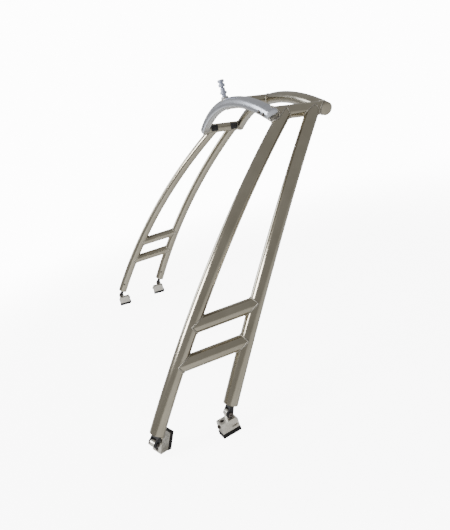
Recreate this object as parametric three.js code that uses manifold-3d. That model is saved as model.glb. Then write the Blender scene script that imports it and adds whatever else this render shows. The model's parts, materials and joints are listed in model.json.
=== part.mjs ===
// Raked tow tower for an open boat: two welded side frames of bent tube, each with two legs and
// two rungs, joined overhead by two arched hoops, and four feet that swivel and pitch.
// Millimetres, +X to starboard, +Y forward, +Z up, origin at the bottom centre of the whole.

import * as THREE from 'three';
import { mergeVertices } from 'three/addons/utils/BufferGeometryUtils.js';
import Module from 'manifold-3d';

const wasm = await Module();
wasm.setup();

// ---- driving dimensions ----------------------------------------------------------------------
const GAP = 0.3;                 // clearance kept between touching pieces
const TUBE_R = 31.75;            // every main tube is 63.5 mm outside diameter
const WALL = 3;                  // tube wall
const BORE_R = TUBE_R - WALL;
const BORE_CORNER_R = 29.6;      // the bore's nine corners, so that the tube weighs what a round one does
const SPIGOT_SLACK = 1.2;        // what a plug leaves round itself inside a bent tube

const TRACK_HALF = 1091;         // mid-plane to a foot's pin
const PIN_SPACING = 326;         // aft foot's pin to forward foot's pin
const PIN_Z = 87.3;              // pin above the deck
const PIN_DROP = 40;             // leg's cut end to the pin, along the leg

const ELBOW_X = 1005;            // where each leg's two tangents cross
const AFT_ELBOW = { y: 300, z: 773 };
const FWD_ELBOW = { y: 566, z: 747 };
const RAIL_X = 662;
const AFT_LEG_TOP_Y = 880;
const FWD_LEG_TOP_Y = 1024;

const HOOP_BEND_R = 2000;
const HOOP_HALF = 680;           // mid-plane to a hoop tube's cut end
const CAP_REACH = 12;            // how far an end cap stands past the cut end
const AFT_HOOP = { y: 810, apex: 1316 };
const FWD_HOOP = { y: 1078, apex: 1279 };

const RUNG_Z = { lower: 351, upper: 480 };
const COVER_LENGTH = 50;
const COVER_SWEEP = 72;          // degrees of tube that a rail cover wraps
const COVER_THICK = 4;
const AFT_COVER_Y = 871;
const FWD_COVER_Y = 1018;

const SPLICE_X = [595, 645];     // splice bolts in the aft hoop, each side
const SPLICE_R = 4;              // their shank radius

// Foot: a block on a rubber pad, with an upright tongue on the pin, off-centre along the block
const BLOCK = { half: 23, short: 26, long: 56, top: -21, base: -69, slant: 9 };
const TONGUE = { half: 12, r: 17 };
const PAD = { thick: 18, lip: 2 };
const PIN_R = 6;
const FORK = { cheek: 7, r: 16.5, bridgeLow: -17, top: -2, neck: 8 };
const MOUNT_Y = 38;              // deck bolt from the pin, along the block
const MOUNT = { shank: 5, head: 8.5, headHigh: 7, sink: 8.5 };
const SCREW_UP = 65;             // set screw above the leg's cut end

// How each foot stands: swivel about the leg and pitch about the pin, in degrees.
// LEVEL lays the pad flat on the deck. One foot is left turned away.
const LEVEL = 'level';
const STANCE = {
  stbd_fwd: { swivel: 0, pitch: LEVEL },
  stbd_aft: { swivel: -150, pitch: -104 },
  port_fwd: { swivel: 0, pitch: LEVEL },
  port_aft: { swivel: 0, pitch: LEVEL },
};

const OUTER_SIDES = 18;
const INNER_SIDES = 9;
const LEG_STEPS = 10;
const HOOP_STEPS = 12;
const ROUND_SIDES = 14;          // turned pieces
const SCREW_SIDES = 10;          // bolts and screws
const SPIGOT_R = BORE_R * Math.cos(Math.PI / INNER_SIDES) - SPIGOT_SLACK;

// ---- materials -------------------------------------------------------------------------------
const finish = (color, roughness, metalness) => () =>
  new THREE.MeshStandardMaterial({ color, roughness, metalness });
const brightTube = finish(0x9a917a, 0.25, 1);
const hoopTube = finish(0xb9bcc0, 0.28, 1);
const towAlloy = finish(0x7c8296, 0.35, 1);
const footAlloy = finish(0xb0a58c, 0.35, 1);
const blackMoulding = finish(0x101010, 0.55, 0);
const blackRubber = finish(0x0b0b0c, 0.85, 0);
const darkSteel = finish(0x3a3530, 0.4, 1);

// ---- solids ----------------------------------------------------------------------------------
const v3 = (x, y, z) => new THREE.Vector3(x, y, z);

function toSolid(geometry) {
  const bare = geometry.index ? geometry.toNonIndexed() : geometry.clone();
  bare.deleteAttribute('normal');
  bare.deleteAttribute('uv');
  const welded = mergeVertices(bare, 1e-4);
  return new wasm.Manifold(new wasm.Mesh({
    numProp: 3,
    vertProperties: new Float32Array(welded.attributes.position.array),
    triVerts: new Uint32Array(welded.index.array),
  }));
}

function toGeometry(solid) {
  const mesh = solid.getMesh();
  const geometry = new THREE.BufferGeometry();
  geometry.setAttribute('position', new THREE.BufferAttribute(mesh.vertProperties, 3));
  geometry.setIndex(new THREE.BufferAttribute(mesh.triVerts, 1));
  geometry.computeVertexNormals();
  return geometry;
}

// Cuts tools from a geometry and keeps the largest piece, so that no sliver is left behind.
function cut(geometry, ...tools) {
  let solid = toSolid(geometry);
  for (const tool of tools) {
    solid = solid.subtract(toSolid(tool));
  }
  const pieces = solid.decompose().sort((a, b) => b.volume() - a.volume());
  return toGeometry(pieces[0]);
}

function join(...geometries) {
  const solids = geometries.map(toSolid);
  return toGeometry(solids.reduce((sum, next) => sum.add(next)));
}

function ring(radius, sides) {
  const points = [];
  for (let i = 0; i < sides; i += 1) {
    const angle = (i / sides) * 2 * Math.PI;
    points.push(new THREE.Vector2(radius * Math.cos(angle), radius * Math.sin(angle)));
  }
  return points;
}

function tube(path, steps) {
  const section = new THREE.Shape(ring(TUBE_R, OUTER_SIDES));
  section.holes.push(new THREE.Path(ring(BORE_CORNER_R, INNER_SIDES)));
  return new THREE.ExtrudeGeometry(section, { extrudePath: path, steps });
}

// The room that a tube and its clearance take out of a neighbour.
function tubeRoom(path, steps) {
  const section = new THREE.Shape(ring(TUBE_R + GAP * 1.1, OUTER_SIDES));
  return new THREE.ExtrudeGeometry(section, { extrudePath: path, steps });
}

// A turned piece: [radius, height] pairs from the axis back to the axis, about +Z.
function turned(pairs, sides = ROUND_SIDES) {
  const profile = pairs.map(([r, z]) => new THREE.Vector2(r, z));
  return new THREE.LatheGeometry(profile, sides).rotateX(Math.PI / 2);
}

function rod(radius, from, to, sides = ROUND_SIDES) {
  const [low, high] = [Math.min(from, to), Math.max(from, to)];
  return turned([[0, low], [radius, low], [radius, high], [0, high]], sides);
}

function box(xs, ys, zs) {
  const size = [xs, ys, zs].map(([a, b]) => Math.abs(b - a));
  const centre = [xs, ys, zs].map(([a, b]) => (a + b) / 2);
  return new THREE.BoxGeometry(...size).translate(...centre);
}

// A flat outline in Y and Z, given thickness along X.
function plate(outline, from, to) {
  const shape = new THREE.Shape(outline.map(([y, z]) => new THREE.Vector2(y, z)));
  const slab = new THREE.ExtrudeGeometry(shape, { depth: to - from, bevelEnabled: false });
  return slab.applyMatrix4(new THREE.Matrix4().set(0, 0, 1, from, 1, 0, 0, 0, 0, 1, 0, 0, 0, 0, 0, 1));
}

function arcPoints(cy, cz, radius, fromDeg, toDeg, steps) {
  const points = [];
  for (let i = 0; i <= steps; i += 1) {
    const angle = THREE.MathUtils.degToRad(fromDeg + ((toDeg - fromDeg) * i) / steps);
    points.push([cy + radius * Math.cos(angle), cz + radius * Math.sin(angle)]);
  }
  return points;
}

const tower = new THREE.Group();

function place(name, geometry, material, parent = tower) {
  const mesh = new THREE.Mesh(geometry, material());
  mesh.name = name;
  parent.add(mesh);
  return mesh;
}

// ---- centrelines -----------------------------------------------------------------------------
const hoopDrop = (x) => HOOP_BEND_R - Math.sqrt(HOOP_BEND_R ** 2 - x ** 2);

class HoopArc extends THREE.Curve {
  constructor(hoop) {
    super();
    this.hoop = hoop;
    this.sweep = Math.asin(HOOP_HALF / HOOP_BEND_R);
  }

  getPoint(t) {
    const angle = this.sweep * (2 * t - 1);
    const x = HOOP_BEND_R * Math.sin(angle);
    return v3(x, this.hoop.y, this.hoop.apex - HOOP_BEND_R * (1 - Math.cos(angle)));
  }
}

const aftHoopArc = new HoopArc(AFT_HOOP);
const fwdHoopArc = new HoopArc(FWD_HOOP);

function railPoint(side, y) {
  const t = (y - AFT_HOOP.y) / (FWD_HOOP.y - AFT_HOOP.y);
  const z = THREE.MathUtils.lerp(AFT_HOOP.apex, FWD_HOOP.apex, t) - hoopDrop(RAIL_X);
  return v3(side * RAIL_X, y, z);
}

// A leg runs straight from its pin to its cut end, then bends up and in to the rail.
function legLine(side, fore) {
  const pin = v3(side * TRACK_HALF, (fore * PIN_SPACING) / 2, PIN_Z);
  const elbow = fore > 0 ? FWD_ELBOW : AFT_ELBOW;
  const control = v3(side * ELBOW_X, elbow.y, elbow.z);
  const up = control.clone().sub(pin).normalize();
  const end = pin.clone().addScaledVector(up, PIN_DROP);
  const top = railPoint(side, fore > 0 ? FWD_LEG_TOP_Y : AFT_LEG_TOP_Y);
  return { pin, up, end, curve: new THREE.QuadraticBezierCurve3(end, control, top) };
}

// The point of a leg's centreline at a given height, found by halving.
function legPointAt(curve, z) {
  let [low, high] = [0, 1];
  for (let i = 0; i < 40; i += 1) {
    const middle = (low + high) / 2;
    if (curve.getPoint(middle).z < z) {
      low = middle;
    } else {
      high = middle;
    }
  }
  return curve.getPoint(low);
}

// ---- hoops, spine and rails ------------------------------------------------------------------

// A hoop's room reaches past its cut ends, over its end caps.
function hoopRooms(arc) {
  const caps = [0, 1].map((t) => {
    const end = arc.getPoint(t);
    const out = arc.getTangent(t).multiplyScalar(t === 0 ? -1 : 1);
    const from = end.clone().addScaledVector(out, -1);
    return tubeRoom(new THREE.LineCurve3(from, end.addScaledVector(out, CAP_REACH)), 1);
  });
  return [tubeRoom(arc, HOOP_STEPS), ...caps];
}

const aftHoopRooms = hoopRooms(aftHoopArc);
const fwdHoopRooms = hoopRooms(fwdHoopArc);

function spliceFrame(x) {
  const angle = Math.asin(x / HOOP_BEND_R);
  const z = AFT_HOOP.apex - HOOP_BEND_R * (1 - Math.cos(angle));
  return new THREE.Matrix4().makeRotationX(Math.PI / 2).setPosition(x, AFT_HOOP.y, z);
}

const spliceXs = [-1, 1].flatMap((side) => SPLICE_X.map((x) => side * x));
const spliceHoles = spliceXs.map((x) =>
  rod(SPLICE_R + GAP, 0, TUBE_R + 10, SCREW_SIDES).applyMatrix4(spliceFrame(x)));
place('aft_hoop', cut(tube(aftHoopArc, HOOP_STEPS), ...spliceHoles), hoopTube);
place('fwd_hoop', tube(fwdHoopArc, HOOP_STEPS), brightTube);

spliceXs.forEach((x, i) => {
  const seat = TUBE_R + GAP;
  const profile = [[0, 24], [SPLICE_R, 24], [SPLICE_R, seat], [9, seat], [9, seat + 3],
    [6.5, seat + 5.5], [0, seat + 6]];
  place(`splice_bolt_${i + 1}`, turned(profile, SCREW_SIDES).applyMatrix4(spliceFrame(x)), darkSteel);
});

const spinePath = new THREE.LineCurve3(aftHoopArc.getPoint(0.5), fwdHoopArc.getPoint(0.5));
place('spine', cut(tube(spinePath, 1), ...aftHoopRooms, ...fwdHoopRooms), brightTube);

for (const [hoopName, arc, material] of [['aft', aftHoopArc, hoopTube], ['fwd', fwdHoopArc, brightTube]]) {
  for (const [sideName, side] of [['stbd', 1], ['port', -1]]) {
    const end = arc.getPoint(side > 0 ? 1 : 0);
    const out = arc.getTangent(side > 0 ? 1 : 0).multiplyScalar(side);
    const domeR = TUBE_R - 0.4;
    const dome = [3, 2, 1, 0].map((i) => {
      const angle = (i / 3) * (Math.PI / 2);
      return [domeR * Math.cos(angle), GAP + 4 + (CAP_REACH - 6) * Math.sin(angle)];
    }).reverse();
    const profile = [[0, -18], [SPIGOT_R, -18], [SPIGOT_R, GAP], [domeR, GAP], ...dome];
    profile[profile.length - 1][0] = 0;
    const cap = place(`${hoopName}_cap_${sideName}`, turned(profile), material);
    cap.position.copy(end);
    cap.quaternion.setFromUnitVectors(v3(0, 0, 1), out);
  }
}

function railCover(side, centreY) {
  const inner = TUBE_R + GAP * 1.5;
  const half = COVER_SWEEP / 2;
  const outline = [
    ...arcPoints(0, 0, inner, -half, half, 6),
    ...arcPoints(0, 0, inner + COVER_THICK, half, -half, 6),
  ].map(([a, b]) => new THREE.Vector2(a, b));
  const shell = new THREE.ExtrudeGeometry(new THREE.Shape(outline), {
    depth: COVER_LENGTH,
    bevelEnabled: false,
  });
  const start = railPoint(side, centreY - COVER_LENGTH / 2);
  const along = railPoint(side, centreY).sub(start).normalize();
  const inboard = v3(-side, 0, 0);
  const third = along.clone().cross(inboard);
  const frame = new THREE.Matrix4().makeBasis(inboard, third, along);
  return shell.applyMatrix4(frame.setPosition(start));
}

// ---- feet ------------------------------------------------------------------------------------
// Plug in the leg's end, bored for the fork's stem; closed at the top.
function legInsert() {
  const throat = FORK.neck + GAP;
  return turned([[0, 30], [throat, 30], [throat, 0.5], [SPIGOT_R - 2, 0.5], [SPIGOT_R, 2.5],
    [SPIGOT_R, 34], [0, 34], [0, 30]]);
}

// Fork: a stem that turns in the plug, a bridge, and two cheeks that taper out to the pin.
function fork() {
  const inner = TONGUE.half + GAP;
  const outer = inner + FORK.cheek;
  const cheek = [
    ...arcPoints(0, -PIN_DROP, FORK.r, 200, 340, 8),
    [FORK.neck, FORK.top],
    [-FORK.neck, FORK.top],
  ];
  const bore = rod(PIN_R + GAP, -outer - 5, outer + 5).rotateY(Math.PI / 2).translate(0, 0, -PIN_DROP);
  const slot = box([-inner, inner], [-40, 40], [-80, FORK.bridgeLow]);
  const stem = rod(FORK.neck, FORK.top - 4, 28);
  return cut(join(plate(cheek, -outer, outer), stem), bore, slot);
}

// Pin: a bolt with a round head outboard and a nut inboard.
function pivotBolt(side) {
  const reach = TONGUE.half + GAP + FORK.cheek + GAP;
  const profile = [[0, -reach - 8], [5, -reach - 8], [5, -reach - 6], [10, -reach - 6], [10, -reach],
    [PIN_R, -reach], [PIN_R, reach], [11, reach], [11, reach + 3], [7, reach + 6], [0, reach + 6]];
  return turned(profile, SCREW_SIDES).rotateY((side * Math.PI) / 2);
}

const MOUNT_BORE = { shank: MOUNT.shank + 0.8, head: MOUNT.head + 1 };

function mountBore(shelf) {
  return [
    rod(MOUNT_BORE.shank, BLOCK.base - PAD.thick - 5, BLOCK.top + 5).translate(0, shelf * MOUNT_Y, 0),
    rod(MOUNT_BORE.head, BLOCK.top - MOUNT.sink, BLOCK.top + 5).translate(0, shelf * MOUNT_Y, 0),
  ];
}

const END_SCREW = { r: 4, deep: 9, z: (BLOCK.top + BLOCK.base) / 2 + 6 };

// Block: seen along X its outline rises from the shelf to the tongue's round end.
function baseBlock(side, shelf) {
  const body = plate([
    [-shelf * BLOCK.short, BLOCK.base],
    [shelf * BLOCK.long, BLOCK.base],
    [shelf * BLOCK.long, BLOCK.top - 4],
    [shelf * (BLOCK.long - 4), BLOCK.top],
    [-shelf * (BLOCK.short - BLOCK.slant), BLOCK.top],
    [-shelf * BLOCK.short, BLOCK.top - BLOCK.slant],
  ], -BLOCK.half, BLOCK.half);
  const tongue = plate([
    [-TONGUE.r, BLOCK.top - 5],
    [TONGUE.r, BLOCK.top - 5],
    ...arcPoints(0, 0, TONGUE.r, 0, 180, 10),
  ], -TONGUE.half, TONGUE.half);
  const bore = rod(PIN_R + GAP, -BLOCK.half, BLOCK.half).rotateY(Math.PI / 2);
  const pocket = box([side * (BLOCK.half - 6), side * (BLOCK.half + 5)],
    [-shelf * 18, shelf * 8], [-58, -46]);
  const endHole = rod(END_SCREW.r + GAP, -END_SCREW.deep - 1, 5, SCREW_SIDES).rotateX(-shelf * Math.PI / 2)
    .translate(0, shelf * BLOCK.long, END_SCREW.z);
  return cut(join(body, tongue), bore, pocket, endHole, ...mountBore(shelf));
}

function rubberPad(shelf) {
  const low = -BLOCK.short - PAD.lip;
  const high = BLOCK.long + PAD.lip;
  const top = BLOCK.base - GAP;
  const half = BLOCK.half + PAD.lip;
  const ys = [shelf * low, shelf * high];
  return cut(box([-half, half], ys, [top - PAD.thick, top]), ...mountBore(shelf));
}

function mountBolt(shelf) {
  const seat = BLOCK.top - MOUNT.sink + GAP;
  const foot = BLOCK.base - PAD.thick + 3;
  const profile = [[0, foot], [MOUNT.shank, foot], [MOUNT.shank, seat], [MOUNT.head, seat],
    [MOUNT.head, seat + MOUNT.headHigh], [4.2, seat + MOUNT.headHigh],
    [4.2, seat + 3], [0, seat + 3]];
  return turned(profile, SCREW_SIDES).translate(0, shelf * MOUNT_Y, 0);
}

// Screw in the shelf's end face that clamps the block to its deck bolt.
function endScrew(shelf) {
  const { r, deep, z } = END_SCREW;
  const profile = [[0, -deep], [r, -deep], [r, GAP], [8, GAP], [8, 6], [5.5, 8], [0, 8]];
  return turned(profile, SCREW_SIDES).rotateX(-shelf * Math.PI / 2).translate(0, shelf * BLOCK.long, z);
}

function setScrew(side) {
  const seat = TUBE_R + 1.2;
  const profile = [[0, 26], [3.5, 26], [3.5, seat], [7, seat], [7, seat + 3], [4, seat + 4.5],
    [0, seat + 4.5]];
  return turned(profile, SCREW_SIDES).rotateY((-side * Math.PI) / 2).translate(0, 0, SCREW_UP);
}

const setScrewHole = (side) =>
  rod(3.5 + 3 * GAP, 20, TUBE_R + 8, SCREW_SIDES).rotateY((-side * Math.PI) / 2).translate(0, 0, SCREW_UP);

function footFrame(line) {
  const across = line.up.clone().cross(v3(0, 0, 1)).normalize();
  const ahead = line.up.clone().cross(across);
  return new THREE.Matrix4().makeBasis(across, ahead, line.up).setPosition(line.end);
}

function addFoot(name, line, side, fore) {
  const shelf = -fore;
  const stance = STANCE[name];
  const lean = Math.acos(line.up.z);
  const onLeg = new THREE.Group();
  onLeg.applyMatrix4(footFrame(line));
  tower.add(onLeg);
  place(`${name}_insert`, legInsert(), footAlloy, onLeg);
  place(`${name}_set_screw`, setScrew(side), darkSteel, onLeg);

  const swivel = new THREE.Group();
  swivel.rotation.z = THREE.MathUtils.degToRad(stance.swivel);
  onLeg.add(swivel);
  place(`${name}_fork`, fork(), blackMoulding, swivel);
  const bolt = place(`${name}_pivot_bolt`, pivotBolt(side), darkSteel, swivel);
  bolt.position.z = -PIN_DROP;

  const pitch = new THREE.Group();
  pitch.position.z = -PIN_DROP;
  pitch.rotation.x = stance.pitch === LEVEL ? lean : THREE.MathUtils.degToRad(stance.pitch);
  swivel.add(pitch);
  place(`${name}_base`, baseBlock(side, shelf), footAlloy, pitch);
  place(`${name}_pad`, rubberPad(shelf), blackRubber, pitch);
  place(`${name}_mount_bolt`, mountBolt(shelf), darkSteel, pitch);
  place(`${name}_end_screw`, endScrew(shelf), darkSteel, pitch);
}

// ---- side frames -----------------------------------------------------------------------------
for (const [sideName, side] of [['stbd', 1], ['port', -1]]) {
  const aft = legLine(side, -1);
  const fwd = legLine(side, 1);
  const railPath = new THREE.LineCurve3(railPoint(side, AFT_HOOP.y), railPoint(side, FWD_HOOP.y));
  const railRoom = tubeRoom(new THREE.LineCurve3(railPoint(side, AFT_HOOP.y - TUBE_R),
    railPoint(side, FWD_HOOP.y + TUBE_R)), 1);
  const aftRoom = tubeRoom(aft.curve, LEG_STEPS);
  const fwdRoom = tubeRoom(fwd.curve, LEG_STEPS);

  for (const [foreName, line] of [['aft', aft], ['fwd', fwd]]) {
    const hole = setScrewHole(side).applyMatrix4(footFrame(line));
    const leg = cut(tube(line.curve, LEG_STEPS), railRoom, ...aftHoopRooms, ...fwdHoopRooms, hole);
    place(`${sideName}_${foreName}_leg`, leg, brightTube);
  }
  place(`${sideName}_rail`, cut(tube(railPath, 1), ...aftHoopRooms, ...fwdHoopRooms), brightTube);
  for (const [level, z] of Object.entries(RUNG_Z)) {
    const path = new THREE.LineCurve3(legPointAt(aft.curve, z), legPointAt(fwd.curve, z));
    place(`${sideName}_${level}_rung`, cut(tube(path, 1), aftRoom, fwdRoom), brightTube);
  }
  place(`${sideName}_aft_cover`, railCover(side, AFT_COVER_Y), blackMoulding);
  place(`${sideName}_fwd_cover`, railCover(side, FWD_COVER_Y), blackMoulding);
  addFoot(`${sideName}_aft`, aft, side, -1);
  addFoot(`${sideName}_fwd`, fwd, side, 1);
}

// ---- tow post --------------------------------------------------------------------------------
// A saddle ring welded on the aft hoop carries the post, its flange and the grooved tow head.
const towBase = AFT_HOOP.apex + TUBE_R;
const saddle = turned([[14.5, -12], [23, -12], [23, 8], [20, 12], [14.5, 12], [14.5, -12]])
  .translate(0, AFT_HOOP.y, towBase);
place('tow_saddle', cut(saddle, aftHoopRooms[0], tubeRoom(spinePath, 1)), hoopTube);
const postProfile = [[0, 1], [13.5, 1], [13.5, 26], [21, 26], [21, 39], [13.5, 41], [13.5, 60],
  [9, 62], [9, 66], [0, 66]];
place('tow_post', turned(postProfile).translate(0, AFT_HOOP.y, towBase), towAlloy);
const headProfile = [[0, 66 + GAP], [20, 66 + GAP], [20, 82], [13, 84], [13, 90], [20, 92],
  [20, 103], [17, 107], [0, 107]];
place('tow_head', turned(headProfile).translate(0, AFT_HOOP.y, towBase), towAlloy);

// ---- origin at the bottom centre -------------------------------------------------------------
tower.updateMatrixWorld(true);
const bounds = new THREE.Box3().setFromObject(tower, true);
const centre = bounds.getCenter(v3(0, 0, 0));
tower.position.set(-centre.x, -centre.y, -bounds.min.z);

export default tower;
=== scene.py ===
"""The looks of a raked tow tower: smooth welded tubes, hoops, tow post and jointed feet.

Every length is in metres, in the frame's own axes: +X starboard, +Y forward, +Z up.
Places come from the frame: each leg starts at its foot's swivel joint, and each foot
stands as its joints and its pad's mount say.
"""

import json
import math

import bmesh
import bpy
from mathutils import Matrix, Vector


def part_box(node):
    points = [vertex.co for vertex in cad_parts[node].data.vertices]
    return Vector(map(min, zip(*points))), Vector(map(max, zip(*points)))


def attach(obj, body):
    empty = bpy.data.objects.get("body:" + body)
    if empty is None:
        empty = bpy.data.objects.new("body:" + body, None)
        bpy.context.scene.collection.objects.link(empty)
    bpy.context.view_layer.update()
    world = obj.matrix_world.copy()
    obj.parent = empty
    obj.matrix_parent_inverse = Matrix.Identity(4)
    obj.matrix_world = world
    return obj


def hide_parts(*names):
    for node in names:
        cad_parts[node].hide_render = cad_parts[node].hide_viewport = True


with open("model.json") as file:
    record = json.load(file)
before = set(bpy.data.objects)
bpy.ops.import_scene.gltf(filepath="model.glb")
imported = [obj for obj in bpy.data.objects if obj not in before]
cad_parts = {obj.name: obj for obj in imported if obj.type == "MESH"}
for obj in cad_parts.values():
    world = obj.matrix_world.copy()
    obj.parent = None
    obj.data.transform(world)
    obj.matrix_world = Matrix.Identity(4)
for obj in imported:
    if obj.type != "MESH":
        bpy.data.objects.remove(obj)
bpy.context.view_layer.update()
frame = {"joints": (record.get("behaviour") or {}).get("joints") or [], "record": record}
JOINTS = {joint["name"]: joint for joint in frame["joints"]}
MOUNTS = {mount["name"]: mount for mount in frame["record"]["mounts"]}

# ---- driving dimensions, as in the CAD -----------------------------------------------------
TUBE_R = 0.03175
BORE_R = 0.02875
ELBOW_X = 1.005
ELBOWS = {"aft": (0.300, 0.773), "fwd": (0.566, 0.747)}
RAIL_X = 0.662
LEG_TOP_Y = {"aft": 0.880, "fwd": 1.024}
HOOP_BEND_R = 2.0
HOOP_HALF = 0.680
CAP_REACH = 0.012
HOOPS = {"aft": (0.810, 1.316), "fwd": (1.078, 1.279)}
RUNG_Z = {"lower": 0.351, "upper": 0.480}
SPLICE_X = (0.595, 0.645)
COVER_Y = {"aft": 0.871, "fwd": 1.018}
COVER_LENGTH = 0.050
COVER_SWEEP = math.radians(72)
COVER_THICK = 0.004
COVER_RECESS = 0.0012           # how deep the cover's screw sits
PIN_DROP = 0.040

SIDES = {"stbd": 1, "port": -1}
FORES = {"aft": -1, "fwd": 1}
ROUND = 64                      # facets round a tube
LEG_STEPS, HOOP_STEPS, STRAIGHT_STEPS = 64, 72, 8
CUT_WALL_EDGE = 0.0006          # how far a cut end's edges are broken
BORE_SHOWN = 0.036              # depth of open bore behind a cut end
CONTACT_STEPS, CONTACT_HALVINGS = 80, 14
HEIGHT_HALVINGS = 40
LENGTH_SAMPLES = 40
NUDGE = 1e-3                    # share of a path used to find its direction

# The CAD's own Y is counted from midway between the pins, so the frame gives the shift.
PIN_YS = [JOINTS[f"port_{fore}_pitch"]["pos_m"][1] for fore in FORES]
Y0 = sum(PIN_YS) / 2

# The camera, from midway between the pins of both sides
CAMERA_AT = Vector((2.801, Y0 - 0.0345, 1.234))
CAMERA_YAW = math.radians(11.66)
CAMERA_PITCH = math.radians(16.73)
CAMERA_ROLL = math.radians(-15.43)
CAMERA_LENS = 31.74


# ---- node materials ------------------------------------------------------------------------
class Nodes:
    """A small helper that adds and links shader nodes."""

    def __init__(self, material):
        material.use_nodes = True
        self.tree = material.node_tree
        self.tree.nodes.clear()

    def add(self, kind, inputs=None, **settings):
        node = self.tree.nodes.new(kind)
        for key, value in settings.items():
            setattr(node, key, value)
        for key, value in (inputs or {}).items():
            if isinstance(value, bpy.types.NodeSocket):
                self.tree.links.new(value, node.inputs[key])
            else:
                node.inputs[key].default_value = value
        return node

    def ramp(self, value, stops):
        node = self.add("ShaderNodeValToRGB", {"Fac": value})
        elements = node.color_ramp.elements
        while len(elements) < len(stops):
            elements.new(0.5)
        for element, (place, colour) in zip(elements, stops):
            element.position = place
            element.color = (*colour, 1.0)
        return node.outputs["Color"]

    def number_ramp(self, value, low, high):
        node = self.add(
            "ShaderNodeMapRange", {"Value": value, "To Min": low, "To Max": high}
        )
        return node.outputs["Result"]

    def noise(self, vector, scale, detail=4.0, roughness=0.55):
        node = self.add(
            "ShaderNodeTexNoise",
            {"Vector": vector, "Scale": scale, "Detail": detail, "Roughness": roughness},
        )
        return node.outputs["Fac"]

    def stretched(self, vector, scale):
        node = self.add("ShaderNodeMapping", {"Vector": vector, "Scale": scale})
        return node.outputs["Vector"]

    def bump(self, height, strength, distance, normal=None):
        inputs = {"Height": height, "Strength": strength, "Distance": distance}
        if normal is not None:
            inputs["Normal"] = normal
        return self.add("ShaderNodeBump", inputs).outputs["Normal"]

    def surface(self, **inputs):
        named = {key.replace("_", " "): value for key, value in inputs.items()}
        shader = self.add("ShaderNodeBsdfPrincipled", named)
        self.add("ShaderNodeOutputMaterial", {"Surface": shader.outputs["BSDF"]})


def object_place(n):
    return n.add("ShaderNodeTexCoord").outputs["Object"]


def drawn_alloy(name, dark, light, rough):
    """Polished drawn tube: long fine draw lines, cloudy anodising, a few handling scuffs."""
    material = bpy.data.materials.new(name)
    n = Nodes(material)
    along = n.add("ShaderNodeTexCoord").outputs["UV"]
    place = object_place(n)
    lines = n.noise(n.stretched(along, (3.0, 260.0, 1.0)), 1.0, 6.0, 0.65)
    cloud = n.noise(place, 7.0, 5.0, 0.6)
    scuff = n.noise(n.stretched(along, (40.0, 90.0, 1.0)), 1.0, 8.0, 0.75)
    tone = n.add("ShaderNodeMath", {0: lines, 1: cloud}, operation="ADD").outputs[0]
    tone = n.add("ShaderNodeMath", {0: tone, 1: 0.5}, operation="MULTIPLY").outputs[0]
    colour = n.ramp(tone, [(0.32, dark), (0.68, light)])
    marks = n.ramp(scuff, [(0.60, (0, 0, 0)), (0.78, (1, 1, 1))])
    base_rough = n.number_ramp(tone, *rough)
    worn = n.add("ShaderNodeMath", {0: marks, 1: 0.10, 2: base_rough}, operation="MULTIPLY_ADD")
    normal = n.bump(lines, 0.10, 0.0004)
    n.surface(
        Base_Color=colour,
        Metallic=1.0,
        Roughness=worn.outputs[0],
        Normal=n.bump(scuff, 0.05, 0.0003, normal),
    )
    return material


def turned_alloy(name, dark, light, rough):
    """Lathe-turned metal: fine rings along the piece's length, with grey staining."""
    material = bpy.data.materials.new(name)
    n = Nodes(material)
    along = n.add("ShaderNodeTexCoord").outputs["UV"]
    rings = n.noise(n.stretched(along, (900.0, 2.0, 1.0)), 1.0, 3.0, 0.5)
    stain = n.noise(object_place(n), 38.0, 6.0, 0.65)
    n.surface(
        Base_Color=n.ramp(stain, [(0.30, dark), (0.70, light)]),
        Metallic=1.0,
        Roughness=n.number_ramp(rings, *rough),
        Normal=n.bump(rings, 0.08, 0.0002, n.bump(stain, 0.10, 0.0004)),
    )
    return material


def tumbled_alloy(name, dark, light, rough):
    """Machined and tumbled block: mottled polish, small pits and faint mill lines."""
    material = bpy.data.materials.new(name)
    n = Nodes(material)
    place = object_place(n)
    mottle = n.noise(place, 46.0, 6.0, 0.6)
    mill = n.noise(n.stretched(place, (14.0, 620.0, 14.0)), 1.0, 3.0, 0.5)
    cells = n.add("ShaderNodeTexVoronoi", {"Vector": place, "Scale": 420.0})
    pits = n.ramp(cells.outputs["Distance"], [(0.05, (0, 0, 0)), (0.22, (1, 1, 1))])
    n.surface(
        Base_Color=n.ramp(mottle, [(0.30, dark), (0.70, light)]),
        Metallic=1.0,
        Roughness=n.number_ramp(mottle, *rough),
        Normal=n.bump(pits, 0.12, 0.0003, n.bump(mill, 0.10, 0.0003)),
    )
    return material


def weld_alloy(name):
    """Weld metal: satin, frosted, a little darker than the tube in its hollows."""
    material = bpy.data.materials.new(name)
    n = Nodes(material)
    frost = n.noise(object_place(n), 240.0, 6.0, 0.7)
    n.surface(
        Base_Color=n.ramp(frost, [(0.30, (0.28, 0.26, 0.22)), (0.75, (0.56, 0.53, 0.46))]),
        Metallic=1.0,
        Roughness=n.number_ramp(frost, 0.34, 0.58),
        Normal=n.bump(frost, 0.30, 0.0005),
    )
    return material


def moulded_black(name):
    """Moulded nylon: black, fine spark grain, lighter rubbed patches."""
    material = bpy.data.materials.new(name)
    n = Nodes(material)
    place = object_place(n)
    grain = n.noise(place, 1500.0, 3.0, 0.5)
    rubbed = n.noise(place, 60.0, 6.0, 0.7)
    n.surface(
        Base_Color=n.ramp(rubbed, [(0.40, (0.008, 0.008, 0.009)), (0.82, (0.035, 0.035, 0.038))]),
        Roughness=n.number_ramp(rubbed, 0.34, 0.62),
        Normal=n.bump(grain, 0.22, 0.0003),
    )
    return material


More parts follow.
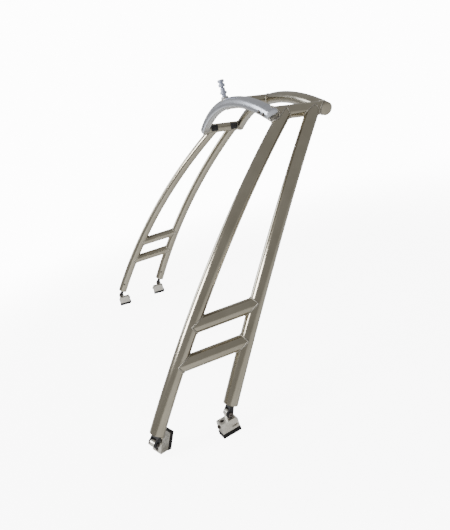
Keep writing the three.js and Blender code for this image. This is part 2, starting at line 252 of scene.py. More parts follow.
def black_rubber(name):
    """Rubber: near black, dusty in its pores, with a pebbled skin."""
    material = bpy.data.materials.new(name)
    n = Nodes(material)
    place = object_place(n)
    pebble = n.add("ShaderNodeTexVoronoi", {"Vector": place, "Scale": 900.0})
    dust = n.noise(place, 85.0, 7.0, 0.7)
    n.surface(
        Base_Color=n.ramp(dust, [(0.45, (0.006, 0.006, 0.006)), (0.85, (0.040, 0.038, 0.036))]),
        Roughness=n.number_ramp(dust, 0.62, 0.92),
        Normal=n.bump(pebble.outputs["Distance"], 0.35, 0.0004),
    )
    return material


def dark_steel(name):
    """Stainless fasteners: dark, brushed, with tea-coloured staining."""
    material = bpy.data.materials.new(name)
    n = Nodes(material)
    place = object_place(n)
    brushed = n.noise(n.stretched(place, (900.0, 60.0, 900.0)), 1.0, 4.0, 0.6)
    stain = n.noise(place, 130.0, 5.0, 0.65)
    n.surface(
        Base_Color=n.ramp(stain, [(0.35, (0.060, 0.050, 0.042)), (0.75, (0.24, 0.22, 0.20))]),
        Metallic=1.0,
        Roughness=n.number_ramp(brushed, 0.24, 0.46),
        Normal=n.bump(brushed, 0.14, 0.0003),
    )
    return material


# each alloy: how it is made, its dark and light tones, and its range of roughness
ALLOYS = {
    # the tube alloy's khaki-brown tones are a painted reflection of brown surroundings, laid over
    # the bare alloy's own random draw-line tone
    "tube_alloy": (drawn_alloy, (0.36, 0.325, 0.25), (0.52, 0.48, 0.385), (0.12, 0.22)),
    "hoop_alloy": (drawn_alloy, (0.58, 0.60, 0.65), (0.76, 0.78, 0.84), (0.16, 0.28)),
    "tow_alloy": (turned_alloy, (0.46, 0.49, 0.60), (0.64, 0.67, 0.78), (0.50, 0.66)),
    "foot_alloy": (tumbled_alloy, (0.58, 0.55, 0.48), (0.80, 0.77, 0.70), (0.24, 0.42)),
}
LOOKS = {name: make(name, *tones) for name, (make, *tones) in ALLOYS.items()}
LOOKS |= {
    "black_moulding": moulded_black("black_moulding"),
    "rubber": black_rubber("rubber"),
    "dark_steel": dark_steel("dark_steel"),
    "weld": weld_alloy("weld"),
}


# ---- pieces --------------------------------------------------------------------------------
def add_piece(name, mesh, look, body, replaces=(), smooth_angle=35):
    """Puts a mesh in the scene, riding a body and standing in for the CAD nodes it replaces."""
    mesh.name = name
    piece = bpy.data.objects.new(name, mesh)
    bpy.context.scene.collection.objects.link(piece)
    mesh.materials.append(LOOKS[look])
    mesh.polygons.foreach_set("use_smooth", [True] * len(mesh.polygons))
    mesh.set_sharp_from_angle(angle=math.radians(smooth_angle))
    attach(piece, body)
    if replaces:
        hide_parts(*replaces)
    return piece


def new_mesh(bm, frame_matrix=None):
    if frame_matrix is not None:
        bm.transform(frame_matrix)
    bmesh.ops.recalc_face_normals(bm, faces=bm.faces)
    mesh = bpy.data.meshes.new("piece")
    bm.to_mesh(mesh)
    bm.free()
    return mesh


def basis(x_axis, y_axis, z_axis, origin):
    matrix = Matrix((x_axis, y_axis, z_axis)).transposed().to_4x4()
    matrix.translation = origin
    return matrix


# ---- tubes ---------------------------------------------------------------------------------
class Line:
    """A straight centreline."""

    def __init__(self, start, end):
        self.start, self.end = start, end

    def at(self, t):
        return self.start.lerp(self.end, t)


class Bend:
    """A leg's centreline: a quadratic curve from its cut end to the rail."""

    def __init__(self, start, pull, end):
        self.points = (start, pull, end)

    def at(self, t):
        start, pull, end = self.points
        return start.lerp(pull, t).lerp(pull.lerp(end, t), t)


class Arch:
    """A hoop's centreline: an upright arc about the mid-plane."""

    def __init__(self, y, apex):
        self.y, self.apex = y, apex
        self.sweep = math.asin(HOOP_HALF / HOOP_BEND_R)

    def at(self, t):
        angle = self.sweep * (2 * t - 1)
        x = HOOP_BEND_R * math.sin(angle)
        return Vector((x, self.y, self.apex - HOOP_BEND_R * (1 - math.cos(angle))))


class Stretch:
    """Part of a centreline, sampled so that distances to it are quick."""

    def __init__(self, path, count=60, reach=0.0):
        self.points = [path.at(i / count) for i in range(count + 1)]
        if reach:
            first, last = self.points[0], self.points[-1]
            self.points[0] = first + (first - self.points[1]).normalized() * reach
            self.points[-1] = last + (last - self.points[-2]).normalized() * reach

    def distance(self, point):
        best = 1e9
        for a, b in zip(self.points, self.points[1:]):
            span = b - a
            t = (point - a).dot(span) / span.length_squared
            near = a + span * min(1.0, max(0.0, t))
            best = min(best, (point - near).length)
        return best


def tube_frame(path, t, side_hint):
    ahead = (path.at(min(1.0, t + NUDGE)) - path.at(max(0.0, t - NUDGE))).normalized()
    across = ahead.cross(side_hint).normalized()
    return ahead, across, ahead.cross(across).normalized()


def skin_point(path, t, angle, side_hint, radius=TUBE_R):
    _, across, up = tube_frame(path, t, side_hint)
    return path.at(t) + (across * math.cos(angle) + up * math.sin(angle)) * radius


def contact(path, angle, side_hint, t_free, t_end, others):
    """Where a line along the tube's skin first meets another tube, or its own end."""
    if not others:
        return t_end
    clear = t_free
    for i in range(1, CONTACT_STEPS + 1):
        t = t_free + (t_end - t_free) * i / CONTACT_STEPS
        point = skin_point(path, t, angle, side_hint)
        if min(other.distance(point) for other in others) < TUBE_R:
            break
        clear = t
    else:
        return t_end
    inside = t
    for _ in range(CONTACT_HALVINGS):
        middle = (clear + inside) / 2
        point = skin_point(path, middle, angle, side_hint)
        if min(other.distance(point) for other in others) < TUBE_R:
            inside = middle
        else:
            clear = middle
    return clear


def tube_mesh(path, side_hint, steps, at_start=(), at_end=(), start_zone=0.5, end_zone=0.5):
    """A round tube whose ends follow the tubes that they meet. Returns its mesh and its ends."""
    angles = [2 * math.pi * i / ROUND for i in range(ROUND)]
    starts = [contact(path, a, side_hint, start_zone, 0.0, at_start) for a in angles]
    ends = [contact(path, a, side_hint, end_zone, 1.0, at_end) for a in angles]
    bm = bmesh.new()
    uv_layer = bm.loops.layers.uv.new("along")
    length = sum(
        (path.at((i + 1) / LENGTH_SAMPLES) - path.at(i / LENGTH_SAMPLES)).length
        for i in range(LENGTH_SAMPLES)
    )
    rows = []
    for k in range(steps + 1):
        share = k / steps
        row = []
        for a, t0, t1 in zip(angles, starts, ends):
            row.append(bm.verts.new(skin_point(path, t0 + (t1 - t0) * share, a, side_hint)))
        rows.append(row)
    for k in range(steps):
        for i in range(ROUND):
            j = (i + 1) % ROUND
            face = bm.faces.new((rows[k][i], rows[k][j], rows[k + 1][j], rows[k + 1][i]))
            corners = ((k, i), (k, i + 1), (k + 1, i + 1), (k + 1, i))
            for loop, (row_at, turn) in zip(face.loops, corners):
                loop[uv_layer].uv = (length * row_at / steps, turn / ROUND)
    for row, joined in ((rows[0], at_start), (rows[-1], at_end)):
        close_end(bm, row, bool(joined))
    start_loop = [v.co.copy() for v in rows[0]]
    end_loop = [v.co.copy() for v in rows[-1]]
    return new_mesh(bm), start_loop, end_loop


def close_end(bm, row, joined):
    """A joined end is closed inside its neighbour; a cut end shows its wall and its bore."""
    centre = sum((v.co for v in row), Vector()) / len(row)
    if joined:
        middle = bm.verts.new(centre)
        for i, vert in enumerate(row):
            bm.faces.new((vert, row[(i + 1) % len(row)], middle))
        return
    inward = inward_of(row, centre)
    rings = [row]
    for radius, depth in ((TUBE_R - CUT_WALL_EDGE, -CUT_WALL_EDGE),
                          (BORE_R + 0.0004, -CUT_WALL_EDGE),
                          (BORE_R, 0.0), (BORE_R, BORE_SHOWN)):
        ring = []
        for vert in row:
            arm = (vert.co - centre).normalized()
            ring.append(bm.verts.new(centre + arm * radius + inward * depth))
        rings.append(ring)
    for outer, inner in zip(rings, rings[1:]):
        for i in range(len(row)):
            j = (i + 1) % len(row)
            bm.faces.new((outer[i], outer[j], inner[j], inner[i]))
    bm.faces.new(rings[-1])


def inward_of(row, centre):
    """Along the tube, away from its cut end: towards the ring beside this one."""
    first, quarter = row[0], row[len(row) // 4]
    for edge in first.link_edges:
        other = edge.other_vert(first)
        if other not in row:
            along = other.co - first.co
            normal = (first.co - centre).cross(quarter.co - centre).normalized()
            return normal if normal.dot(along) > 0 else -normal
    raise ValueError("a tube end has no neighbour ring")


WELD_R = 0.0042
WELD_SIDES = 10
RIPPLE = 0.0030                 # length of one weld ripple
RIPPLE_SAMPLES = 4              # rings to a ripple
RIPPLE_DEPTH = 0.14             # share of the bead's radius that a ripple rises


def weld_mesh(loop):
    """A bead round a closed seam, with a ripple every few millimetres."""
    count = len(loop)
    lengths = [0.0]
    for i in range(count):
        lengths.append(lengths[-1] + (loop[(i + 1) % count] - loop[i]).length)
    total = lengths[-1]
    ripples = max(12, round(total / RIPPLE))
    samples = ripples * RIPPLE_SAMPLES
    points = []
    segment = 0
    for k in range(samples):
        goal = total * k / samples
        while lengths[segment + 1] < goal:
            segment += 1
        span = lengths[segment + 1] - lengths[segment]
        share = (goal - lengths[segment]) / span if span > 0 else 0.0
        points.append(loop[segment].lerp(loop[(segment + 1) % count], share))
    centre = sum(points, Vector()) / samples
    bm = bmesh.new()
    rings = []
    for k, point in enumerate(points):
        ahead = (points[(k + 1) % samples] - points[k - 1]).normalized()
        outward = (point - centre).normalized()
        side = ahead.cross(outward).normalized()
        outward = side.cross(ahead).normalized()
        swell = abs(math.sin(math.pi * k / RIPPLE_SAMPLES))
        radius = WELD_R * (1 - RIPPLE_DEPTH + RIPPLE_DEPTH * swell)
        ring = []
        for i in range(WELD_SIDES):
            a = 2 * math.pi * i / WELD_SIDES
            ring.append(bm.verts.new(
                point + (outward * math.cos(a) + side * math.sin(a)) * radius))
        rings.append(ring)
    for k in range(samples):
        here, there = rings[k], rings[(k + 1) % samples]
        for i in range(WELD_SIDES):
            j = (i + 1) % WELD_SIDES
            bm.faces.new((here[i], here[j], there[j], there[i]))
    return new_mesh(bm)


def add_weld(name, loop):
    return add_piece(name, weld_mesh(loop), "weld", "tower", smooth_angle=80)


# ---- turned and plated pieces --------------------------------------------------------------
def turned_mesh(profile, matrix=None, sides=ROUND):
    """A piece turned about Z from (radius, height) pairs, from axis to axis or closed."""
    bm = bmesh.new()
    uv_layer = bm.loops.layers.uv.new("along")
    rings = []
    for radius, height in profile:
        if radius < 1e-7:
            rings.append([bm.verts.new((0, 0, height))])
            continue
        ring = []
        for i in range(sides):
            a = 2 * math.pi * i / sides
            ring.append(bm.verts.new((radius * math.cos(a), radius * math.sin(a), height)))
        rings.append(ring)
    travel = 0.0
    for index, (low, high) in enumerate(zip(rings, rings[1:])):
        (r0, z0), (r1, z1) = profile[index], profile[index + 1]
        step = math.hypot(r1 - r0, z1 - z0)
        for i in range(sides):
            j = (i + 1) % sides
            ring_verts = [low[i % len(low)], low[j % len(low)], high[j % len(high)],
                          high[i % len(high)]]
            corners = list(dict.fromkeys(ring_verts))
            if len(corners) < 3:
                continue
            face = bm.faces.new(corners)
            for loop in face.loops:
                loop[uv_layer].uv = (travel + (0 if loop.vert in low else step), i / sides)
        travel += step
    bmesh.ops.remove_doubles(bm, verts=bm.verts, dist=1e-6)
    return new_mesh(bm, matrix)


def rounded(profile, radius=0.0012, steps=3):
    """Rounds the corners of a (radius, height) profile, leaving its points on the axis."""
    result = [profile[0]]
    for before, corner, after in zip(profile, profile[1:], profile[2:]):
        p, c, q = Vector(before), Vector(corner), Vector(after)
        cut_in = min(radius, (p - c).length * 0.45)
        cut_out = min(radius, (q - c).length * 0.45)
        start = c + (p - c).normalized() * cut_in
        end = c + (q - c).normalized() * cut_out
        for i in range(steps + 1):
            t = i / steps
            result.append(tuple(start.lerp(c, t).lerp(c.lerp(end, t), t)))
    result.append(profile[-1])
    return result


def plate_mesh(outline, low, high):
    """A slab from a (y, z) outline, between two X places."""
    bm = bmesh.new()
    near = [bm.verts.new((low, y, z)) for y, z in outline]
    far = [bm.verts.new((high, y, z)) for y, z in outline]
    bm.faces.new(near)
    bm.faces.new(list(reversed(far)))
    for i in range(len(outline)):
        j = (i + 1) % len(outline)
        bm.faces.new((near[j], near[i], far[i], far[j]))
    return new_mesh(bm)


def arc(cy, cz, radius, from_deg, to_deg, steps):
    points = []
    for i in range(steps + 1):
        a = math.radians(from_deg + (to_deg - from_deg) * i / steps)
        points.append((cy + radius * math.cos(a), cz + radius * math.sin(a)))
    return points


def prism_mesh(sides, across_flats, low, high, turn=0.0):
    """A hexagon or other prism about Z."""
    radius = across_flats / 2 / math.cos(math.pi / sides)
    outline = []
    for i in range(sides):
        a = turn + 2 * math.pi * i / sides
        outline.append((radius * math.cos(a), radius * math.sin(a)))
    bm = bmesh.new()
    bottom = [bm.verts.new((x, y, low)) for x, y in outline]
    top = [bm.verts.new((x, y, high)) for x, y in outline]
    bm.faces.new(list(reversed(bottom)))
    bm.faces.new(top)
    for i in range(sides):
        j = (i + 1) % sides
        bm.faces.new((bottom[i], bottom[j], top[j], top[i]))
    return new_mesh(bm)


def carve(mesh, joins=(), cuts=(), bevel=0.0012, segments=3):
    """Joins and cuts meshes with exact booleans, rounds the edges, and returns the result."""
    work = bpy.data.objects.new("work", mesh)
    bpy.context.scene.collection.objects.link(work)
    helpers = []
    for operation, group in (("UNION", joins), ("DIFFERENCE", cuts)):
        for other in group:
            helper = bpy.data.objects.new("helper", other)
            bpy.context.scene.collection.objects.link(helper)
            helpers.append(helper)
            step = work.modifiers.new("step", "BOOLEAN")
            step.operation = operation
            step.solver = "EXACT"
            step.object = helper
    if bevel:
        edges = work.modifiers.new("edges", "BEVEL")
        edges.width = bevel
        edges.segments = segments
        edges.limit_method = "ANGLE"
        edges.angle_limit = math.radians(38)
        edges.use_clamp_overlap = True
    bpy.context.view_layer.update()
    graph = bpy.context.evaluated_depsgraph_get()
    result = bpy.data.meshes.new_from_object(work.evaluated_get(graph))
    for thing in [work, *helpers]:
        bpy.data.objects.remove(thing)
    return result


def moved(mesh, matrix):
    mesh.transform(matrix)
    return mesh


def cylinder_tool(radius, low, high, matrix=None, sides=48):
    profile = [(0, low), (radius, low), (radius, high), (0, high)]
    return turned_mesh(profile, matrix, sides)


TO_X = Matrix.Rotation(math.pi / 2, 4, "Y")


def to_y(shelf):
    return Matrix.Rotation(-shelf * math.pi / 2, 4, "X")


# ---- the frame of tubes --------------------------------------------------------------------
UP = Vector((0, 0, 1))
HEADWAY = Vector((0, 1, 0))
ACROSS = Vector((1, 0, 0))


def in_frame(x, y, z):
    """A point given with the CAD's Y, in the frame's axes."""
    return Vector((x, y + Y0, z))


def hoop_drop(x):
    return HOOP_BEND_R - math.sqrt(HOOP_BEND_R ** 2 - x ** 2)


def rail_point(side, y):
    (aft_y, aft_apex), (fwd_y, fwd_apex) = HOOPS["aft"], HOOPS["fwd"]
    share = (y - aft_y) / (fwd_y - aft_y)
    height = aft_apex + (fwd_apex - aft_apex) * share - hoop_drop(RAIL_X)
    return in_frame(side * RAIL_X, y, height)


def leg_path(side_name, fore):
    start = Vector(JOINTS[f"{side_name}_{fore}_swivel"]["pos_m"])
    side = SIDES[side_name]
    y, z = ELBOWS[fore]
    elbow = in_frame(side * ELBOW_X, y, z)
    return Bend(start, elbow, rail_point(side, LEG_TOP_Y[fore]))


def height_share(path, z):
    low, high = 0.0, 1.0
    for _ in range(HEIGHT_HALVINGS):
        middle = (low + high) / 2
        if path.at(middle).z < z:
            low = middle
        else:
            high = middle
    return low


arches = {name: Arch(y + Y0, apex) for name, (y, apex) in HOOPS.items()}
arch_spans = {name: Stretch(arch, 32, CAP_REACH) for name, arch in arches.items()}


def build_hoops():
    for name, arch in arches.items():
        look = "hoop_alloy" if name == "aft" else "tube_alloy"
        mesh, _, _ = tube_mesh(arch, HEADWAY, HOOP_STEPS)
        add_piece(f"{name}_hoop_tube", mesh, look, "tower", [f"{name}_hoop"])
        for side_name, side in SIDES.items():
            t = 1.0 if side > 0 else 0.0
            ahead, across, up = tube_frame(arch, t, HEADWAY)
            out = ahead * side
            dome = [(TUBE_R * math.cos(a), 0.0045 + (CAP_REACH - 0.006) * math.sin(a))
                    for a in [i / 12 * math.pi / 2 for i in range(12)]]
            profile = [(0, -0.015), (0.0262, -0.015), (0.0262, 0.0002), (TUBE_R - 0.0005, 0.0002),
                       (TUBE_R, 0.0008), *dome, (0, CAP_REACH - 0.0015)]
            matrix = basis(across * side, up, out, arch.at(t))
            add_piece(f"{name}_{side_name}_end_cap", turned_mesh(profile, matrix), look,
                      "tower", [f"{name}_cap_{side_name}"], 50)


def build_side(side_name):
    side = SIDES[side_name]
    legs = {fore: leg_path(side_name, fore) for fore in FORES}
    rail = Line(rail_point(side, HOOPS["aft"][0]), rail_point(side, HOOPS["fwd"][0]))
    rail_span = Stretch(rail, 4)
    hoops = list(arch_spans.values())
    for fore, path in legs.items():
        mesh, _, seam = tube_mesh(
            path, ACROSS, LEG_STEPS, at_end=[rail_span, *hoops], end_zone=0.8)
        add_piece(f"{side_name}_{fore}_leg_tube", mesh, "tube_alloy", "tower",
                  [f"{side_name}_{fore}_leg"])
        add_weld(f"{side_name}_{fore}_leg_weld", seam)
    mesh, start_seam, end_seam = tube_mesh(
        rail, ACROSS, STRAIGHT_STEPS, [arch_spans["aft"]], [arch_spans["fwd"]])
    add_piece(f"{side_name}_rail_tube", mesh, "tube_alloy", "tower", [f"{side_name}_rail"])
    add_weld(f"{side_name}_rail_weld_aft", start_seam)
    add_weld(f"{side_name}_rail_weld_fwd", end_seam)
    spans = {fore: Stretch(path, 36) for fore, path in legs.items()}
    for level, z in RUNG_Z.items():
        ends = [leg.at(height_share(leg, z)) for leg in (legs["aft"], legs["fwd"])]
        mesh, start_seam, end_seam = tube_mesh(
            Line(*ends), ACROSS, STRAIGHT_STEPS, [spans["aft"]], [spans["fwd"]])
        add_piece(f"{side_name}_{level}_rung_tube", mesh, "tube_alloy", "tower",
                  [f"{side_name}_{level}_rung"])
        add_weld(f"{side_name}_{level}_rung_weld_aft", start_seam)
        add_weld(f"{side_name}_{level}_rung_weld_fwd", end_seam)
    for fore, y in COVER_Y.items():
        build_cover(f"{side_name}_{fore}_cover", side, y)


def build_cover(node, side, y):
    """A moulded half sleeve on the inboard face of a rail, with one screw."""
    inner = TUBE_R + 0.0004
    half = math.degrees(COVER_SWEEP / 2)
    outline = [*arc(0, 0, inner, -half, half, 18),
               *arc(0, 0, inner + COVER_THICK, half, -half, 18)]
    shell = plate_mesh(outline, -COVER_LENGTH / 2, COVER_LENGTH / 2)
    seat = inner + COVER_THICK - COVER_RECESS
    outward = Matrix.Translation((0, seat, 0)) @ Matrix.Rotation(-math.pi / 2, 4, "X")
    recess = turned_mesh([(0, 0), (0.0055, 0), (0.0055, 0.004), (0, 0.004)], outward, 32)
    shell = carve(shell, cuts=[recess], bevel=0.0011)
    start, end = rail_point(side, y - 0.01), rail_point(side, y + 0.01)
    along = (end - start).normalized()
    inboard = Vector((-side, 0, 0))
    matrix = basis(along, inboard, along.cross(inboard), rail_point(side, y))
    add_piece(f"{node}_shell", moved(shell, matrix), "black_moulding", "tower", [node])
    head = rounded([(0, 0), (0.0048, 0), (0.0048, 0.0014), (0.0036, 0.0022), (0, 0.0022)], 0.0005)
    screw = carve(turned_mesh(head, None, 32),
                  cuts=[prism_mesh(6, 0.003, 0.0008, 0.004)], bevel=0)
    screw = moved(moved(screw, outward), matrix)
    add_piece(f"{node}_screw", screw, "dark_steel", "tower")


def build_spine():
    spine = Line(arches["aft"].at(0.5), arches["fwd"].at(0.5))
    mesh, start_seam, end_seam = tube_mesh(
        spine, ACROSS, STRAIGHT_STEPS, [arch_spans["aft"]], [arch_spans["fwd"]])
    add_piece("spine_tube", mesh, "tube_alloy", "tower", ["spine"])
    add_weld("spine_weld_aft", start_seam)
    add_weld("spine_weld_fwd", end_seam)


def button_screw(radius, height, socket, shank_r, shank):
    """A low round-headed screw with a hexagonal socket, its seat at Z = 0."""
    profile = [(0, -shank), (shank_r, -shank), (shank_r, 0), (radius, 0),
               (radius, height * 0.35), (radius * 0.72, height * 0.9), (0, height)]
    body = turned_mesh(rounded(profile, 0.0006), None, 40)
    return carve(body, cuts=[prism_mesh(6, socket, height * 0.35, height * 2)], bevel=0)


def build_splice():
    """Two bolts each side clamp the aft hoop's middle to its ends, over a thin joint line."""
    arch = arches["aft"]
    xs = [side * x for side in (-1, 1) for x in SPLICE_X]
    for number, x in enumerate(xs, start=1):
        angle = math.asin(x / HOOP_BEND_R)
        z = arch.apex - HOOP_BEND_R * (1 - math.cos(angle))
        matrix = Matrix.Translation((x, arch.y - TUBE_R - 0.0003, z)) @ Matrix.Rotation(
            math.pi / 2, 4, "X")
        mesh = button_screw(0.009, 0.0058, 0.005, 0.004, 0.006)
        add_piece(f"splice_screw_{number}", moved(mesh, matrix), "dark_steel", "tower",
                  [f"splice_bolt_{number}"])
    for side_name, side in SIDES.items():
        t = 0.5 + side * math.asin(sum(SPLICE_X) / 2 / HOOP_BEND_R) / arch.sweep / 2
        ahead, across, up = tube_frame(arch, t, HEADWAY)
        band = [(TUBE_R + 0.00005, -0.0012), (TUBE_R + 0.0009, -0.0009),
                (TUBE_R + 0.0009, 0.0009), (TUBE_R + 0.00005, 0.0012),
                (TUBE_R - 0.0006, 0.0), (TUBE_R + 0.00005, -0.0012)]
        matrix = basis(across, up, ahead, arch.at(t))
        add_piece(f"splice_seam_{side_name}", turned_mesh(band, matrix), "hoop_alloy", "tower")


def build_tow_post():
    """Saddle, post with its flange, and the grooved head that a rope loops round."""
    base = arches["aft"].at(0.5) + Vector((0, 0, TUBE_R))
    low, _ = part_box("tow_post")
    lift = Matrix.Translation((base.x, base.y, low.z - 0.001))
    saddle = rounded([(0.0145, -0.006), (0.0215, -0.006), (0.0225, 0.0), (0.0225, 0.007),
                      (0.0195, 0.0115), (0.0145, 0.0115), (0.0145, -0.006)], 0.0012)
    add_piece("tow_saddle_ring", turned_mesh(saddle, lift), "hoop_alloy", "tower", ["tow_saddle"])
    seam = []
    for i in range(ROUND):
        a = 2 * math.pi * i / ROUND
        x, y = 0.0228 * math.cos(a), 0.0228 * math.sin(a)
        drop = TUBE_R - math.sqrt(TUBE_R ** 2 - y ** 2)
        drop += hoop_drop(abs(x))
        seam.append(base + Vector((x, y, -drop)))
    add_weld("tow_saddle_weld", seam)
    post = rounded([(0, 0.001), (0.0135, 0.001), (0.0135, 0.026), (0.021, 0.026),
                    (0.021, 0.039), (0.0145, 0.0405), (0.0145, 0.0600), (0.009, 0.0615),
                    (0.009, 0.066), (0, 0.066)], 0.0014, 4)
    add_piece("tow_post_stem", turned_mesh(post, lift), "tow_alloy", "tower", ["tow_post"])
    head = rounded([(0, 0.0663), (0.0198, 0.0663), (0.0198, 0.082), (0.013, 0.0845),
                    (0.013, 0.0895), (0.0198, 0.092), (0.0198, 0.103), (0.0165, 0.1068),
                    (0, 0.1068)], 0.0016, 4)
    body = carve(turned_mesh(head), cuts=[prism_mesh(6, 0.010, 0.1005, 0.12)], bevel=0)
    add_piece("tow_head_spool", moved(body, lift), "tow_alloy", "tower", ["tow_head"])


# ---- feet ----------------------------------------------------------------------------------
BLOCK = {"half": 0.023, "short": 0.026, "long": 0.056, "top": -0.021, "base": -0.069}
SLANT = 0.009
TONGUE_HALF, TONGUE_R = 0.012, 0.017
PAD_THICK, PAD_LIP = 0.018, 0.002
MOUNT_Y = 0.038
FORK_CHEEK, FORK_R, FORK_NECK = 0.007, 0.0165, 0.008
FORK_BRIDGE, FORK_TOP = -0.017, -0.002
END_SCREW_Z = (BLOCK["top"] + BLOCK["base"]) / 2 + 0.006
SET_SCREW_UP = 0.065
SLACK = 0.0003
PIN_BORE_R = 0.0063
MOUNT_BORE_R = 0.0058
COUNTERBORE = {"r": 0.0095, "deep": 0.0085}
DEEP = 0.12                     # further than any cut in a foot has to reach
GROOVES = 8                     # across the pad's underside


def base_mesh(side, shelf):
    """The block under a foot, with its tongue, bolt shelf, bores and one slot-shaped pocket."""
    b = BLOCK
    body = plate_mesh([
        (-shelf * b["short"], b["base"]),
        (shelf * b["long"], b["base"]),
        (shelf * b["long"], b["top"] - 0.004),
        (shelf * (b["long"] - 0.004), b["top"]),
        (-shelf * (b["short"] - SLANT), b["top"]),
        (-shelf * b["short"], b["top"] - SLANT),
    ], -b["half"], b["half"])
    tongue = plate_mesh([
        (-TONGUE_R, b["top"] - 0.005), (TONGUE_R, b["top"] - 0.005),
        *arc(0, 0, TONGUE_R, 0, 180, 28)], -TONGUE_HALF, TONGUE_HALF)
    at_mount = Matrix.Translation((0, shelf * MOUNT_Y, 0))
    pocket_low = side * (b["half"] - 0.006)
    pocket_high = side * (b["half"] + 0.005)
    slot_outline = [
        *arc(-shelf * 0.005 - 0.008, -0.052, 0.006, 90, 270, 10),
        *arc(-shelf * 0.005 + 0.008, -0.052, 0.006, -90, 90, 10)]
    pocket = plate_mesh(slot_outline, min(pocket_low, pocket_high), max(pocket_low, pocket_high))
    cuts = [
        cylinder_tool(PIN_BORE_R, -0.05, 0.05, TO_X),
        cylinder_tool(MOUNT_BORE_R, -DEEP, 0.0, at_mount),
        cylinder_tool(COUNTERBORE["r"], b["top"] - COUNTERBORE["deep"], 0.0, at_mount),
        cylinder_tool(0.0043, -0.010, 0.01,
                      Matrix.Translation((0, shelf * b["long"], END_SCREW_Z)) @ to_y(shelf), 32),
        pocket,
    ]
    return carve(body, joins=[tongue], cuts=cuts, bevel=0.0013)


def pad_mesh(shelf):
    """Rubber pad with a lip round the block, and grooves that leave ribs on its underside."""
    top = BLOCK["base"] - SLACK
    low = -BLOCK["short"] - PAD_LIP
    high = BLOCK["long"] + PAD_LIP
    half = BLOCK["half"] + PAD_LIP
    bottom = top - PAD_THICK
    outline = [(shelf * low, bottom), (shelf * high, bottom), (shelf * high, top),
               (shelf * low, top)]
    slab = plate_mesh(outline, -half, half)
    grooves = []
    for i in range(1, GROOVES + 1):
        y = low + (high - low) * i / (GROOVES + 1)
        grooves.append(plate_mesh([
            (shelf * (y - 0.0016), bottom - 0.001), (shelf * (y + 0.0016), bottom - 0.001),
            (shelf * (y + 0.0009), bottom + 0.0018), (shelf * (y - 0.0009), bottom + 0.0018),
        ], -half - 0.001, half + 0.001))
    at_mount = Matrix.Translation((0, shelf * MOUNT_Y, 0))
    hole = cylinder_tool(MOUNT_BORE_R, -DEEP, 0.0, at_mount)
    return carve(slab, cuts=[*grooves, hole], bevel=0.0009, segments=2)


def fork_mesh():
    """Two cheeks on a bridge, with the stem that turns in the leg's plug."""
    inner = TONGUE_HALF + SLACK
    outer = inner + FORK_CHEEK
    cheek = [*arc(0, -PIN_DROP, FORK_R, 200, 340, 24), (FORK_NECK, FORK_TOP),
             (-FORK_NECK, FORK_TOP)]
    slab = plate_mesh(cheek, -outer, outer)
    slot = plate_mesh([(-0.04, -0.09), (0.04, -0.09), (0.04, FORK_BRIDGE), (-0.04, FORK_BRIDGE)],
                      -inner, inner)
    at_pin = Matrix.Translation((0, 0, -PIN_DROP)) @ TO_X
    bore = cylinder_tool(PIN_BORE_R, -0.06, 0.06, at_pin)
    stem = cylinder_tool(FORK_NECK, FORK_TOP - 0.004, 0.028)
    return carve(slab, joins=[stem], cuts=[slot, bore], bevel=0.0012)


def pivot_bolt_meshes():
    """A shouldered bolt with a round socket head, and its nut on the far side."""
    reach = TONGUE_HALF + SLACK + FORK_CHEEK + SLACK
    shank = [(0, -reach - 0.0078), (0.0055, -reach - 0.0078), (0.006, -reach - 0.0070),
             (0.006, reach), (0.0108, reach), (0.0108, reach + 0.0034), (0.0082, reach + 0.0058),
             (0, reach + 0.0058)]
    bolt = carve(turned_mesh(rounded(shank, 0.0006), None, 40),
                 cuts=[prism_mesh(6, 0.006, reach + 0.0022, reach + 0.02)], bevel=0)
    nut = carve(prism_mesh(6, 0.0165, -reach - 0.0060, -reach - 0.0008),
                cuts=[cylinder_tool(0.0060, -0.06, 0.0)], bevel=0.0006)
    return bolt, nut


def mount_bolt_mesh(shelf):
    """The deck bolt: a socket-headed screw in the shelf's counterbore."""
    seat = BLOCK["top"] - COUNTERBORE["deep"] + SLACK
    foot = BLOCK["base"] - PAD_THICK + 0.003
    profile = [(0, foot), (0.005, foot), (0.005, seat), (0.0085, seat), (0.0085, seat + 0.0068),
               (0, seat + 0.0068)]
    body = turned_mesh(rounded(profile, 0.0008), None, 40)
    socket = prism_mesh(6, 0.008, seat + 0.0025, seat + 0.02)
    at_mount = Matrix.Translation((0, shelf * MOUNT_Y, 0))
    return moved(carve(body, cuts=[socket], bevel=0), at_mount)


def end_screw_mesh(shelf):
    """A hexagon-headed clamp screw on a washer, in the shelf's end face."""
    shank = [(0, -0.009), (0.004, -0.009), (0.004, SLACK), (0.008, SLACK), (0.008, 0.0018),
             (0, 0.0018)]
    body = turned_mesh(rounded(shank, 0.0004), None, 40)
    head = carve(prism_mesh(6, 0.0130, 0.0010, 0.0078), bevel=0.0007)
    place = Matrix.Translation((0, shelf * BLOCK["long"], END_SCREW_Z)) @ to_y(shelf)
    return moved(carve(body, joins=[head], bevel=0), place)


def insert_mesh():
    """Plug in the leg's end: a lipped disc with the fork's stem in its middle."""
    profile = [(0, 0.030), (0.0083, 0.030), (0.0083, 0.0005), (0.0102, 0.0003), (0.0110, 0.0012),
               (0.0215, 0.0012), (0.0228, 0.0003), (0.0252, 0.0006), (0.0262, 0.0022),
               (0.0262, 0.034), (0, 0.034)]
    return turned_mesh(rounded(profile, 0.0006))


